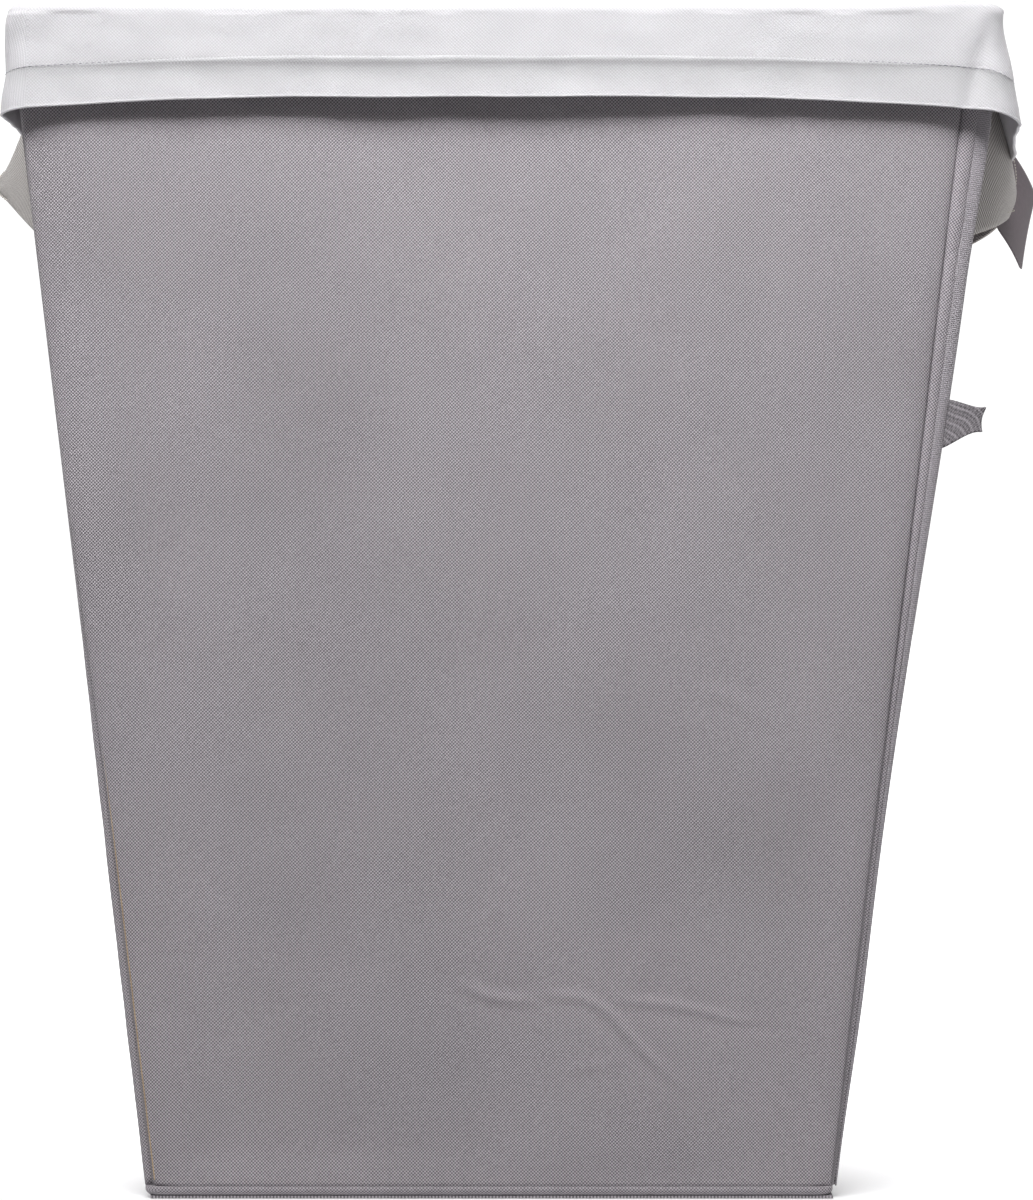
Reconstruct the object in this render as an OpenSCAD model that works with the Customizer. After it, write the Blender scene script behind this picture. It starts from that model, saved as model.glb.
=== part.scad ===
// Laundry hamper: a tapered fabric body that folds flat, a base board that flips up, a lid on a
// rear flap, a lift-out liner whose cuff turns down over the rim, webbing handles and a hang tag.
// Millimetres. The origin is on the floor under the middle of the body, -Y is the front, +Z is up.

/* [Body] */
// Width of the front panel at the floor
bottom_w = 350; // [335:1:365]
// Width of the front panel at the rim
top_w = 494; // [480:1:505]
// Height of the walls
body_h = 604; // [560:1:640]
// Depth from the front face to the back face
depth = 330; // [320:1:345]
// Height of the walls' lower edges, which pass over the base board when the body folds
wall_z = 6.2; // [5.4:0.1:7]

/* [Layers] */
// Thickness of the outer cover
cover_t = 1; // [0.8:0.1:1.2]
// Thickness of the stiffening board
board_t = 3; // [2.4:0.1:3.2]
// Thickness of the lining
lining_t = 1; // [0.8:0.1:1.2]
// How far a board stops short of its cover's edges
board_inset = 3; // [1:0.5:6]
// Thickness of the tape folded over the rim
rim_tape_t = 0.8; // [0.5:0.1:1]
// Height of the tape folded over the rim
rim_tape_h = 14; // [10:1:20]

/* [Folding corners] */
// Distance from a panel's inner face to the corner fold line
hinge_inset = 7.5; // [7:0.1:9]
// Distance of the centre fold line outside the side wall
centre_out = 2; // [1.9:0.1:3]
// Radius of the corner piping
piping_r = 4; // [3:0.1:4.2]
// Radius of the welt on the centre fold line
welt_r = 1.8; // [1:0.1:1.8]
// Clearance between a side wall and the piping it turns about
piping_gap = 0.4; // [0.3:0.1:1]
// Clearance at the corner where the left side wall meets the front panel
open_gap = 1.5; // [1:0.1:3]
// Width of the ribbed tape behind the front corners
edge_tape_w = 22; // [15:1:30]
// Thickness of the ribbed tape
edge_tape_t = 1.2; // [0.8:0.1:1.4]

/* [Base] */
// Half width of the base board
base_half_w = 166; // [160:1:167]
// Underside of the base board
base_z = 1.4; // [1.3:0.1:1.6]
// Thickness of the base board
base_board_t = 2.8; // [2:0.1:2.8]
// Thickness of the base board's pad
base_pad_t = 0.8; // [0.4:0.1:0.8]
// Height of the welt around the floor
floor_welt_h = 5; // [4:0.1:5]
// Width of the welt around the floor
floor_welt_w = 5; // [3:0.1:5]

/* [Liner] */
// Clearance from the side walls to the liner bag
liner_side_gap = 7; // [7:0.5:12]
// Half depth of the liner bag
liner_half_d = 150; // [140:1:151]
// Thickness of the liner cloth
liner_t = 1.2; // [0.8:0.1:1.5]
// Top of the cuff
cuff_top_z = 610; // [608:1:612]
// Lower edge of the cuff
cuff_low_z = 558; // [555:1:565]
// Half width of the cuff at its top
cuff_top_x = 254; // [252:1:258]
// Half width of the cuff at its lower edge
cuff_low_x = 259.5; // [258:0.5:264]
// Half depth of the cuff at its top
cuff_top_y = 172; // [171:0.5:174]
// Half depth of the cuff at its lower edge
cuff_low_y = 175; // [173:0.5:176]
// Height of the hem on the cuff
hem_h = 20; // [12:1:26]

/* [Lid] */
// Half width of the lid
lid_half_w = 245; // [235:1:250]
// Length of the lid from its hinge to its free edge
lid_l = 346; // [340:1:350]
// Thickness of the lid's covers
lid_skin_t = 1; // [0.8:0.1:1.2]
// Thickness of the lid's board
lid_board_t = 3; // [2:0.1:3]
// Radius of the lid's free corners
lid_corner_r = 16; // [8:1:30]
// Width of the binding around the lid
lid_bind = 2; // [1:0.5:4]
// Height of the lid's fold line
lid_axis_z = 617; // [616.8:0.1:619]
// Distance of the lid's fold line behind the back face
lid_axis_out = 13; // [12.5:0.1:15]

/* [Handles and tags] */
// Width of the handle webbing where it leaves the wall
strap_w = 50; // [38:1:52]
// Height of the folded grip at the middle of a handle
grip_h = 22; // [18:1:30]
// Thickness of the handle webbing
strap_t = 1.8; // [1.4:0.1:2.4]
// Half length of a handle along the wall
handle_half_l = 80; // [70:1:88]
// How far a handle stands out from the wall
handle_out = 38; // [30:1:42]
// Height of the line that a handle swings about
handle_z = 555; // [550:1:556]
// Height of the loop in the front right seam
seam_loop_z = 397.5; // [300:0.5:450]
// Width of the loop's webbing
seam_loop_w = 27; // [20:1:30]
// Length of the hang tag
tag_l = 58; // [45:1:60]
// Width of the hang tag
tag_w = 39; // [30:1:42]
// Thickness of the hang tag
tag_t = 0.8; // [0.5:0.1:1]

/* [Hidden] */
$fn = 48;

RIGHT = 1;
LEFT = -1;
REAR = 1;
FRONT = -1;

outer_grey = [0.56, 0.54, 0.56];
lining_grey = [0.62, 0.60, 0.62];
tape_grey = [0.60, 0.57, 0.60];
board_brown = [0.66, 0.55, 0.40];
liner_white = [0.93, 0.93, 0.95];
webbing_beige = [0.64, 0.61, 0.57];
webbing_dark = [0.39, 0.37, 0.39];
card_grey = [0.43, 0.38, 0.41];

panel_t = cover_t + board_t + lining_t;
lean = atan((top_w - bottom_w) / 2 / body_h);   // the side walls' lean from upright
axis_y = depth / 2 - panel_t - hinge_inset;     // the corner fold lines, front and rear
side_low = wall_z / cos(lean);                  // lower edge of a side wall, along its slope
side_high = (body_h - panel_t * sin(lean)) / cos(lean);
tiny = 0.2;                                     // gap between the two halves of a side wall

base_hinge_z = base_z + (base_board_t + base_pad_t) / 2;
base_stand_gap = 0.7;                           // from a standing base board to the back wall
base_hinge_r = (base_board_t + base_pad_t) / 2;
base_hinge_y = depth / 2 - panel_t - base_stand_gap - base_hinge_r;
base_front_y = -(depth / 2 - panel_t - 3);
base_rear_y = base_hinge_y - base_hinge_r - 0.3;
floor_cover_t = 1.2;

flap_t = 1.4;
flap_low_z = 495;
flap_half_w = 215;
lid_axis_y = depth / 2 + lid_axis_out;
flap_out_y = lid_axis_y + flap_t / 2;
lid_top_z = lid_axis_z - 2;                     // the lid's hinged edge while it hangs open
lid_face_y = lid_axis_y + 1;                    // the lid's outer face while it hangs open
lid_t = 2 * lid_skin_t + lid_board_t;

// Half width of the front panel at a height.
function half_w(z) = bottom_w / 2 + z * tan(lean);

// Outline of a front or back panel between two heights, as x and z.
function panel_outline(inset, z0, z1) = [
    [-half_w(z0) + inset, z0], [half_w(z0) - inset, z0],
    [half_w(z1) - inset, z1], [-half_w(z1) + inset, z1]
];

// Extrudes an x-z outline along Y, from y0 for a thickness of t.
module along_y(y0, t) {
    translate([0, y0 + t, 0]) rotate([90, 0, 0]) linear_extrude(t) children();
}

// Extrudes a y-z outline along X, from x0 for a length of l.
module along_x(x0, l) {
    translate([x0, 0, 0]) rotate([90, 0, 90]) linear_extrude(l) children();
}

// Places a shape drawn for a wall whose outer face is x = 0, on the left or right side.
module on_side(side) {
    mirror([side < 0 ? 1 : 0, 0, 0]) translate([bottom_w / 2, 0, 0]) rotate([0, lean, 0]) children();
}

// A block on a side wall: x from x0 to x1, y from y0 to y1 towards the rear or front, z up the slope.
module side_block(side, end, x0, x1, y0, y1, z0, z1) {
    on_side(side) translate([x0, end > 0 ? y0 : -y1, z0]) cube([x1 - x0, y1 - y0, z1 - z0]);
}

// A straight-sided frustum with its half widths at the two ends.
module frustum(low_x, low_y, low_z, top_x, top_y, top_z) {
    reach = max(low_x, top_x, low_y, top_y) + 1;
    intersection() {
        along_y(-reach, 2 * reach) polygon([
            [-low_x, low_z], [low_x, low_z], [top_x, top_z], [-top_x, top_z]]);
        along_x(-reach, 2 * reach) polygon([
            [-low_y, low_z], [low_y, low_z], [top_y, top_z], [-top_y, top_z]]);
    }
}

// ---- Front and back panels ----

module wide_cover(face) {
    y0 = face > 0 ? depth / 2 - cover_t : -depth / 2;
    color(outer_grey) along_y(y0, cover_t) polygon(panel_outline(0, wall_z, body_h));
}

module wide_board(face) {
    y0 = face > 0 ? depth / 2 - cover_t - board_t : -depth / 2 + cover_t;
    color(board_brown) along_y(y0, board_t)
        polygon(panel_outline(board_inset, wall_z + board_inset, body_h - board_inset));
}

module wide_lining(face) {
    y0 = face > 0 ? depth / 2 - panel_t : -depth / 2 + cover_t + board_t;
    color(lining_grey) along_y(y0, lining_t) polygon(panel_outline(0, wall_z, body_h));
}

module wide_rim_tape(face) {
    y0 = face > 0 ? depth / 2 - panel_t : -depth / 2;
    color(tape_grey) difference() {
        along_y(y0 - rim_tape_t, panel_t + 2 * rim_tape_t)
            polygon(panel_outline(0, body_h - rim_tape_h, body_h + rim_tape_t));
        along_y(y0, panel_t) polygon(panel_outline(-1, body_h - rim_tape_h - 1, body_h));
    }
}

// A corner's piping on its fold line, with the flange that joins it to the panel below the rim tape.
module corner_piping(side, end) {
    flange_w = 4;
    panel_face = depth / 2 - panel_t;
    flange_high = side_high - rim_tape_h - 3;
    color(outer_grey) union() {
        on_side(side) translate([-panel_t / 2, end * axis_y, side_low])
            cylinder(r = piping_r, h = side_high - side_low);
        side_block(side, end, -panel_t / 2 - flange_w / 2, -panel_t / 2 + flange_w / 2,
            axis_y, panel_face, side_low, flange_high);
    }
}

// A loop of webbing in the front right seam, its two layers joined at a round end.
module seam_loop() {
    layer_r = 1.8;
    slit_r = 0.6;
    root_x = 1.7;
    end_x = 17.2;
    color(webbing_dark) on_side(RIGHT)
        translate([0, -axis_y, (seam_loop_z - seam_loop_w / 2) / cos(lean)])
        linear_extrude(seam_loop_w) difference() {
            union() {
                translate([root_x, -layer_r]) square([end_x - root_x, 2 * layer_r]);
                translate([end_x, 0]) circle(r = layer_r);
            }
            translate([root_x + 3, -slit_r]) square([end_x - root_x - 3, 2 * slit_r]);
            translate([end_x, 0]) circle(r = slit_r);
        }
}

// ---- Side walls, each in a rear and a front half ----

// The half's end beside the corner piping.
function half_end(side, end) =
    axis_y - piping_r - (side == LEFT && end == FRONT ? open_gap : piping_gap);

module half_cover(side, end) {
    color(outer_grey) side_block(side, end, -cover_t, 0, tiny, half_end(side, end), side_low, side_high);
}

module half_board(side, end) {
    color(board_brown) side_block(side, end, -cover_t - board_t, -cover_t,
        board_inset, half_end(side, end) - board_inset, side_low + board_inset, side_high - board_inset);
}

module half_lining(side, end) {
    color(lining_grey) side_block(side, end, -panel_t, -cover_t - board_t,
        tiny, half_end(side, end), side_low, side_high);
}

module half_rim_tape(side, end) {
    color(tape_grey) difference() {
        side_block(side, end, -panel_t - rim_tape_t, rim_tape_t, tiny, half_end(side, end),
            side_high - rim_tape_h, side_high + rim_tape_t);
        side_block(side, end, -panel_t, 0, -1, depth / 2, side_high - rim_tape_h - 1, side_high);
    }
}

module centre_welt(side) {
    color(tape_grey) on_side(side) translate([centre_out, 0, side_low])
        cylinder(r = welt_r, h = side_high - rim_tape_h - 1 - side_low);
}

module edge_tape(side) {
    far = half_end(side, FRONT);
    color(tape_grey) side_block(side, FRONT, 0, edge_tape_t, far - edge_tape_w, far,
        side_low, side_high - rim_tape_h - tiny);
}

// The sewn end of a handle under the cuff, with the roll that the handle swings about.
module handle_patch(side, end) {
    patch_t = 1.5;
    patch_w = 34;
    patch_h = 31;
    roll_r = 0.9;
    far = handle_half_l + 14;
    low = handle_z / cos(lean);
    color(webbing_beige) union() {
        side_block(side, end, 0, patch_t, far - patch_w, far, low + 0.3, low + patch_h);
        on_side(side) translate([roll_r + 0.05, end * (far - patch_w / 2), low])
            rotate([90, 0, 0]) cylinder(r = roll_r, h = patch_w, center = true);
    }
}

// A handle: webbing arched out from the wall and folded narrow at the grip.
module handle(side) {
    foot_x = 2;
    rise = handle_out - foot_x;
    arch_r = (handle_half_l * handle_half_l + rise * rise) / (2 * rise);
    top = (handle_z - 2) / cos(lean);
    grip_mid = top - strap_w / 2 + 3;
    color(webbing_beige) on_side(side) intersection() {
        translate([handle_out - arch_r, 0, top - strap_w]) linear_extrude(strap_w) difference() {
            circle(r = arch_r);
            circle(r = arch_r - strap_t);
        }
        along_x(foot_x, handle_out) polygon([
            [-handle_half_l - 2, top - strap_w], [0, grip_mid - grip_h / 2],
            [handle_half_l + 2, top - strap_w], [handle_half_l + 2, top],
            [0, grip_mid + grip_h / 2], [-handle_half_l - 2, top]]);
    }
}

// ---- Floor and base board ----

module base_cover() {
    color(outer_grey) translate([-bottom_w / 2, -depth / 2, 0]) cube([bottom_w, depth, floor_cover_t]);
}

module base_welt() {
    w = floor_welt_w;
    color(outer_grey) difference() {
        translate([-bottom_w / 2, -depth / 2, floor_cover_t])
            cube([bottom_w, depth, floor_welt_h - floor_cover_t]);
        translate([-bottom_w / 2 + w, -depth / 2 + w, 0]) cube([bottom_w - 2 * w, depth - 2 * w, 10]);
    }
}

module base_hinge_roll() {
    color(tape_grey) translate([0, base_hinge_y, base_hinge_z])
        rotate([0, 90, 0]) cylinder(r = base_hinge_r, h = 2 * base_half_w - 6, center = true);
}

module base_board() {
    color(board_brown) translate([-base_half_w, base_front_y, base_z])
        cube([2 * base_half_w, base_rear_y - base_front_y, base_board_t]);
}

// Where the pull strip lies, sunk flush into the pad.
strip_w = 26;
strip_l = 48;

module base_pad() {
    top = base_z + base_board_t;
    color(lining_grey) difference() {
        translate([-base_half_w, base_front_y, top])
            cube([2 * base_half_w, base_rear_y - base_front_y, base_pad_t]);
        translate([-strip_w / 2, base_front_y - 1, top - 1]) cube([strip_w, strip_l + 1, 3]);
    }
}

module base_pull_strip() {
    color(webbing_dark) translate([-strip_w / 2 + tiny, base_front_y, base_z + base_board_t])
        cube([strip_w - 2 * tiny, strip_l - tiny, base_pad_t]);
}

// ---- Lid, hanging open behind the body ----

module lid_flap() {
    y0 = depth / 2;
    color(outer_grey) along_x(-flap_half_w, 2 * flap_half_w) polygon([
        [y0, flap_low_z], [y0 + 2 * flap_t, flap_low_z], [flap_out_y, cuff_low_z - 6],
        [flap_out_y, lid_axis_z - 1.4], [flap_out_y - flap_t, lid_axis_z - 1.4],
        [flap_out_y - flap_t, cuff_low_z - 3], [y0, flap_low_z + 3]]);
}

module lid_hinge_roll() {
    roll_r = 1.2;
    color(tape_grey) translate([0, lid_axis_y, lid_axis_z])
        rotate([0, 90, 0]) cylinder(r = roll_r, h = 2 * flap_half_w, center = true);
}

// The lid's outline, square at the hinge and round at its free corners.
module lid_outline(inset) {
    x = lid_half_w - inset;
    low = lid_top_z - lid_l + inset;
    top = lid_top_z - inset;
    r = lid_corner_r - inset;
    difference() {
        translate([-x, low]) square([2 * x, top - low]);
        for (s = [-1, 1])
            difference() {
                translate([s > 0 ? x - r : -x - 1, low - 1]) square([r + 1, r + 1]);
                translate([s * (x - r), low + r]) circle(r = r);
            }
    }
}

module lid_layer(y0, t) {
    along_y(y0, t) lid_outline(lid_bind);
}

module lid_top_cover() {
    color(outer_grey) lid_layer(lid_face_y, lid_skin_t);
}

module lid_board() {
    color(board_brown) along_y(lid_face_y + lid_skin_t, lid_board_t) lid_outline(lid_bind + board_inset);
}

module lid_lining() {
    color(lining_grey) lid_layer(lid_face_y + lid_skin_t + lid_board_t, lid_skin_t);
}

module lid_binding() {
    color(tape_grey) along_y(lid_face_y, lid_t) difference() {
        lid_outline(0);
        lid_outline(lid_bind);
    }
}

module lid_pull_loop() {
    half = 13;
    drop = 18;
    wall = 4;
    color(webbing_dark) along_y(lid_face_y + 1.4, 2) difference() {
        translate([-half, lid_top_z - lid_l - drop]) square([2 * half, drop]);
        translate([-half + wall, lid_top_z - lid_l - drop + wall]) square([2 * (half - wall), drop]);
    }
}

// ---- Liner ----

// Half width of the liner bag's outside at a height.
function liner_x(z) = half_w(z) - (panel_t + liner_side_gap) / cos(lean);

liner_floor_z = 6.6;
cuff_plate_t = 2;
liner_high = cuff_top_z - cuff_plate_t;

module liner_floor() {
    x = liner_x(liner_floor_z);
    color(liner_white) translate([-x, -liner_half_d, liner_floor_z]) cube([2 * x, 2 * liner_half_d, liner_t]);
}

module liner_bag() {
    low = liner_floor_z + liner_t;
    color(liner_white) difference() {
        frustum(liner_x(low), liner_half_d, low, liner_x(liner_high), liner_half_d, liner_high);
        frustum(liner_x(low - 1) - liner_t, liner_half_d - liner_t, low - 1,
            liner_x(liner_high + 1) - liner_t, liner_half_d - liner_t, liner_high + 1);
    }
}

// Half width and half depth of the cuff's outside at a height.
function cuff_x(z) = cuff_top_x + (cuff_low_x - cuff_top_x) * (cuff_top_z - z) / (cuff_top_z - cuff_low_z);
function cuff_y(z) = cuff_top_y + (cuff_low_y - cuff_top_y) * (cuff_top_z - z) / (cuff_top_z - cuff_low_z);

// A frustum inside the cuff's outside by an amount, between two heights.
module cuff_frustum(inside, z0, z1) {
    frustum(cuff_x(z0) - inside, cuff_y(z0) - inside, z0, cuff_x(z1) - inside, cuff_y(z1) - inside, z1);
}

module liner_cuff() {
    color(liner_white) difference() {
        cuff_frustum(0, cuff_low_z, cuff_top_z);
        cuff_frustum(liner_t, cuff_low_z - 1, liner_high);
        frustum(liner_x(liner_high) - liner_t, liner_half_d - liner_t, liner_high - 1,
            liner_x(liner_high) - liner_t, liner_half_d - liner_t, cuff_top_z + 1);
    }
}

module liner_hem() {
    color(liner_white) difference() {
        cuff_frustum(liner_t, cuff_low_z, cuff_low_z + hem_h);
        cuff_frustum(2 * liner_t, cuff_low_z - 1, cuff_low_z + hem_h + 1);
    }
}

// ---- Hang tag on the right handle ----

// The tag's middle, and its length and width directions.
tag_mid = [293.9, 25, 526];
tag_along = [13, 33.4, 48.1];
tag_across = [18.4, 27.4, -20.2];
a_dir = tag_along / norm(tag_along);
n_dir = cross(a_dir, tag_across) / norm(cross(a_dir, tag_across));
w_dir = cross(n_dir, a_dir);

module hang_tag() {
    color(card_grey) multmatrix([
        [w_dir[0], n_dir[0], a_dir[0], tag_mid[0]],
        [w_dir[1], n_dir[1], a_dir[1], tag_mid[1]],
        [w_dir[2], n_dir[2], a_dir[2], tag_mid[2]],
        [0, 0, 0, 1]])
        cube([tag_w, tag_t, tag_l], center = true);
}

// A plastic pin from the handle's grip to the tag's edge, which the tag turns about.
module tag_fastener() {
    pin_r = 0.6;
    pin_l = 7;
    color([0.85, 0.85, 0.85]) translate([276, 8, 527]) rotate([0, 90, 0])
        cylinder(r = pin_r, h = pin_l);
}

base_cover();
base_welt();
base_hinge_roll();
wide_cover(REAR);  // back_cover
wide_board(REAR);  // back_board
wide_lining(REAR);  // back_lining
wide_rim_tape(REAR);  // back_rim_tape
corner_piping(LEFT, REAR);  // back_piping_left
corner_piping(RIGHT, REAR);  // back_piping_right
lid_flap();
lid_hinge_roll();
base_board();
base_pad();
base_pull_strip();
wide_cover(FRONT);  // front_cover
wide_board(FRONT);  // front_board
wide_lining(FRONT);  // front_lining
wide_rim_tape(FRONT);  // front_rim_tape
corner_piping(LEFT, FRONT);  // front_piping_left
corner_piping(RIGHT, FRONT);  // front_piping_right
seam_loop();
half_cover(RIGHT, REAR);  // right_rear_cover
half_board(RIGHT, REAR);  // right_rear_board
half_lining(RIGHT, REAR);  // right_rear_lining
half_rim_tape(RIGHT, REAR);  // right_rear_rim_tape
centre_welt(RIGHT);  // right_centre_welt
handle_patch(RIGHT, REAR);  // right_rear_handle_patch
half_cover(RIGHT, FRONT);  // right_front_cover
half_board(RIGHT, FRONT);  // right_front_board
half_lining(RIGHT, FRONT);  // right_front_lining
half_rim_tape(RIGHT, FRONT);  // right_front_rim_tape
edge_tape(RIGHT);  // right_edge_tape
handle_patch(RIGHT, FRONT);  // right_front_handle_patch
half_cover(LEFT, REAR);  // left_rear_cover
half_board(LEFT, REAR);  // left_rear_board
half_lining(LEFT, REAR);  // left_rear_lining
half_rim_tape(LEFT, REAR);  // left_rear_rim_tape
centre_welt(LEFT);  // left_centre_welt
handle_patch(LEFT, REAR);  // left_rear_handle_patch
half_cover(LEFT, FRONT);  // left_front_cover
half_board(LEFT, FRONT);  // left_front_board
half_lining(LEFT, FRONT);  // left_front_lining
half_rim_tape(LEFT, FRONT);  // left_front_rim_tape
edge_tape(LEFT);  // left_edge_tape
handle_patch(LEFT, FRONT);  // left_front_handle_patch
handle(LEFT);  // left_handle
handle(RIGHT);  // right_handle
hang_tag();
tag_fastener();
lid_top_cover();
lid_board();
lid_lining();
lid_binding();
lid_pull_loop();
liner_bag();
liner_floor();
liner_cuff();
liner_hem();
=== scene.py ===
"""Looks of the fabric laundry hamper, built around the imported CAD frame. Metres; -Y is the front."""

import math

import bpy
import numpy as np
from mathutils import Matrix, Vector


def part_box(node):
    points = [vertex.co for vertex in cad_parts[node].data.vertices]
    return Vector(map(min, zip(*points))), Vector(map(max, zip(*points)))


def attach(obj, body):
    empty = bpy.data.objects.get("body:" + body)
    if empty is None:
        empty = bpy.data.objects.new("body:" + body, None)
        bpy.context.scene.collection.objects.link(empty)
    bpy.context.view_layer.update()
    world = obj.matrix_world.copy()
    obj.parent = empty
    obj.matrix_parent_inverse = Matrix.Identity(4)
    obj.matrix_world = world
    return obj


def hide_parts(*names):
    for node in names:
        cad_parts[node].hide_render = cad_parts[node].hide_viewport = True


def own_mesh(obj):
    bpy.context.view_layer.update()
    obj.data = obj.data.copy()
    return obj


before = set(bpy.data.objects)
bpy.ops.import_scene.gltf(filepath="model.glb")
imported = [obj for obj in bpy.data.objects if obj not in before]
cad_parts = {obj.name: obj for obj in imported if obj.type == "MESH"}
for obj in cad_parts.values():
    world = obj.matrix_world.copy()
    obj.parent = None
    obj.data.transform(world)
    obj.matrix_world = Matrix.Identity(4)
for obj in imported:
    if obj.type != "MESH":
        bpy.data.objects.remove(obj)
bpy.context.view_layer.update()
MM = 0.001

# ---------------------------------------------------------------- sizes taken from the frame

cover_lo, cover_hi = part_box("front_cover")
floor_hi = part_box("base_cover")[1]
WALL_LOW = cover_lo.z
WALL_TOP = cover_hi.z
FLOOR_HALF_W = floor_hi.x
LEAN = (cover_hi.x - FLOOR_HALF_W) / WALL_TOP
LEAN_ANGLE = math.atan(LEAN)
FRONT_Y = cover_lo.y
BACK_Y = -FRONT_Y
CUFF_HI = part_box("liner_cuff")[1]
BAG_LO, BAG_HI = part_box("liner_bag")
LID_LO, LID_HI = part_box("lid_top_cover")
FLAP_LO, FLAP_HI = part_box("lid_flap")


def half_w(z):
    """Half width of the front panel at a height."""
    return FLOOR_HALF_W + z * LEAN


def spread(*parts):
    """Coordinates that differ in shape, stacked into one grid of points."""
    return np.stack(np.broadcast_arrays(*parts), -1)


def smooth(t):
    """An even step from 0 to 1, level at both ends."""
    t = np.clip(t, 0, 1)
    return t * t * (3 - 2 * t)


def ripples(u, v, seed, shortest, longest, waves=14):
    """Smooth, repeatable unevenness between about -1 and 1, from random plane waves."""
    rng = np.random.RandomState(seed)
    total = np.zeros(np.broadcast(u, v).shape)
    for _ in range(waves):
        length = rng.uniform(shortest, longest)
        turn, phase = rng.uniform(0, 2 * math.pi, 2)
        total = total + np.sin(2 * math.pi * (u * math.cos(turn) + v * math.sin(turn)) / length + phase)
    return total / math.sqrt(waves) * 0.7


def near_line(u, v, points):
    """Distance from each (u, v) to a polyline, and how far along it the nearest point lies, 0 to 1."""
    best = np.full(np.broadcast(u, v).shape, 1e9)
    along = np.zeros_like(best)
    lengths = [math.dist(a, b) for a, b in zip(points, points[1:])]
    done = 0.0
    for (a, b), length in zip(zip(points, points[1:]), lengths):
        du, dv = (b[0] - a[0]) / length, (b[1] - a[1]) / length
        t = np.clip((u - a[0]) * du + (v - a[1]) * dv, 0, length)
        d = np.hypot(u - a[0] - t * du, v - a[1] - t * dv)
        closer = d < best
        best = np.where(closer, d, best)
        along = np.where(closer, (done + t) / sum(lengths), along)
        done += length
    return best, along


def crease(u, v, points, width, height):
    """A soft pressed crease: a low ridge beside a shallow valley, fading at both ends."""
    d, along = near_line(u, v, points)
    fade = np.sin(np.pi * np.clip(along, 0.04, 0.96)) ** 0.5
    ridge = np.exp(-((d / width) ** 2)) - 0.45 * np.exp(-(((d - 2.2 * width) / (1.6 * width)) ** 2))
    return height * fade * ridge


# ---------------------------------------------------------------- mesh making

def new_object(name, verts, faces, loop_uv, material):
    """A smooth mesh object. loop_uv has one point for each corner of each face, or is None."""
    mesh = bpy.data.meshes.new(name)
    mesh.from_pydata(verts, [], faces)
    if loop_uv is not None:
        mesh.uv_layers.new(name="UVMap").data.foreach_set("uv", loop_uv.reshape(-1))
    mesh.materials.append(material)
    mesh.polygons.foreach_set("use_smooth", [True] * len(mesh.polygons))
    mesh.validate()
    mesh.update()
    obj = bpy.data.objects.new(name, mesh)
    bpy.context.scene.collection.objects.link(obj)
    return obj


def grid_faces(rows, cols, wrap):
    """Corner indices, as (row, column) pairs, of the quads of a grid."""
    r, c = np.meshgrid(np.arange(rows - 1), np.arange(cols if wrap else cols - 1), indexing="ij")
    r, c = r.ravel(), c.ravel()
    return np.stack([spread(r, c), spread(r, c + 1), spread(r + 1, c + 1), spread(r + 1, c)], 1)


def shell(name, outer, inner, uv, material, wrap=False):
    """A closed skin between two grids of points, rows by columns; wrap joins the last column to the first.
    uv has one more column than the points if it wraps."""
    rows, cols = outer.shape[:2]
    quads = grid_faces(rows, cols, wrap)
    index = lambda rc, base: base + rc[..., 0] * cols + rc[..., 1] % cols
    take = lambda rc: uv[rc[..., 0], rc[..., 1]]
    faces = [index(quads, 0), index(quads[:, ::-1], rows * cols)]
    coords = [take(quads), take(quads[:, ::-1])]
    c, r = np.arange(cols if wrap else cols - 1), np.arange(rows - 1)
    borders = [(spread(row, c), spread(row, c + 1), row == 0) for row in (0, rows - 1)]
    if not wrap:
        borders += [(spread(r, col), spread(r + 1, col), col > 0) for col in (0, cols - 1)]
    for a, b, ahead in borders:
        ring = np.stack([index(b, 0), index(a, 0), index(a, rows * cols), index(b, rows * cols)], 1)
        ring_uv = np.stack([take(b), take(a), take(a) + 0.7 * MM, take(b) + 0.7 * MM], 1)
        faces.append(ring if ahead else ring[:, ::-1])
        coords.append(ring_uv if ahead else ring_uv[:, ::-1])
    verts = np.concatenate([outer.reshape(-1, 3), inner.reshape(-1, 3)])
    return new_object(name, verts.tolist(), np.concatenate(faces).tolist(), np.concatenate(coords), material)


def grid_normals(points, wrap=False):
    """Unit normals of a grid, by the rows' direction crossed with the columns'."""
    if wrap:
        across = np.roll(points, -1, 1) - np.roll(points, 1, 1)
    else:
        across = np.gradient(points, axis=1)
    down = np.gradient(points, axis=0)
    n = np.cross(across, down)
    return n / np.maximum(np.linalg.norm(n, axis=2, keepdims=True), 1e-12)


def cloth(name, points, thickness, uv, material, wrap=False, inward=1):
    """A sheet of a thickness, grown from its visible face to the other side."""
    n = grid_normals(points, wrap) * inward
    return shell(name, points, points + n * thickness, uv, material, wrap)


def unit(vectors):
    return vectors / np.linalg.norm(vectors, axis=1, keepdims=True)


def path_lengths(path):
    """Distance along a path at each of its points."""
    return np.concatenate([[0], np.cumsum(np.linalg.norm(np.diff(path, axis=0), axis=1))])


def arc_lengths(points):
    """Distance along each row of a grid, and down each column, as a UV map in metres."""
    u = np.concatenate([np.zeros((points.shape[0], 1)),
                        np.cumsum(np.linalg.norm(np.diff(points, axis=1), axis=2), 1)], 1)
    v = np.concatenate([np.zeros((1, points.shape[1])),
                        np.cumsum(np.linalg.norm(np.diff(points, axis=0), axis=2), 0)], 0)
    return np.stack([u, v], 2)


def loop_lengths(points):
    """The same for a grid that wraps, with one more column."""
    return arc_lengths(np.concatenate([points, points[:, :1]], 1))


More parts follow.
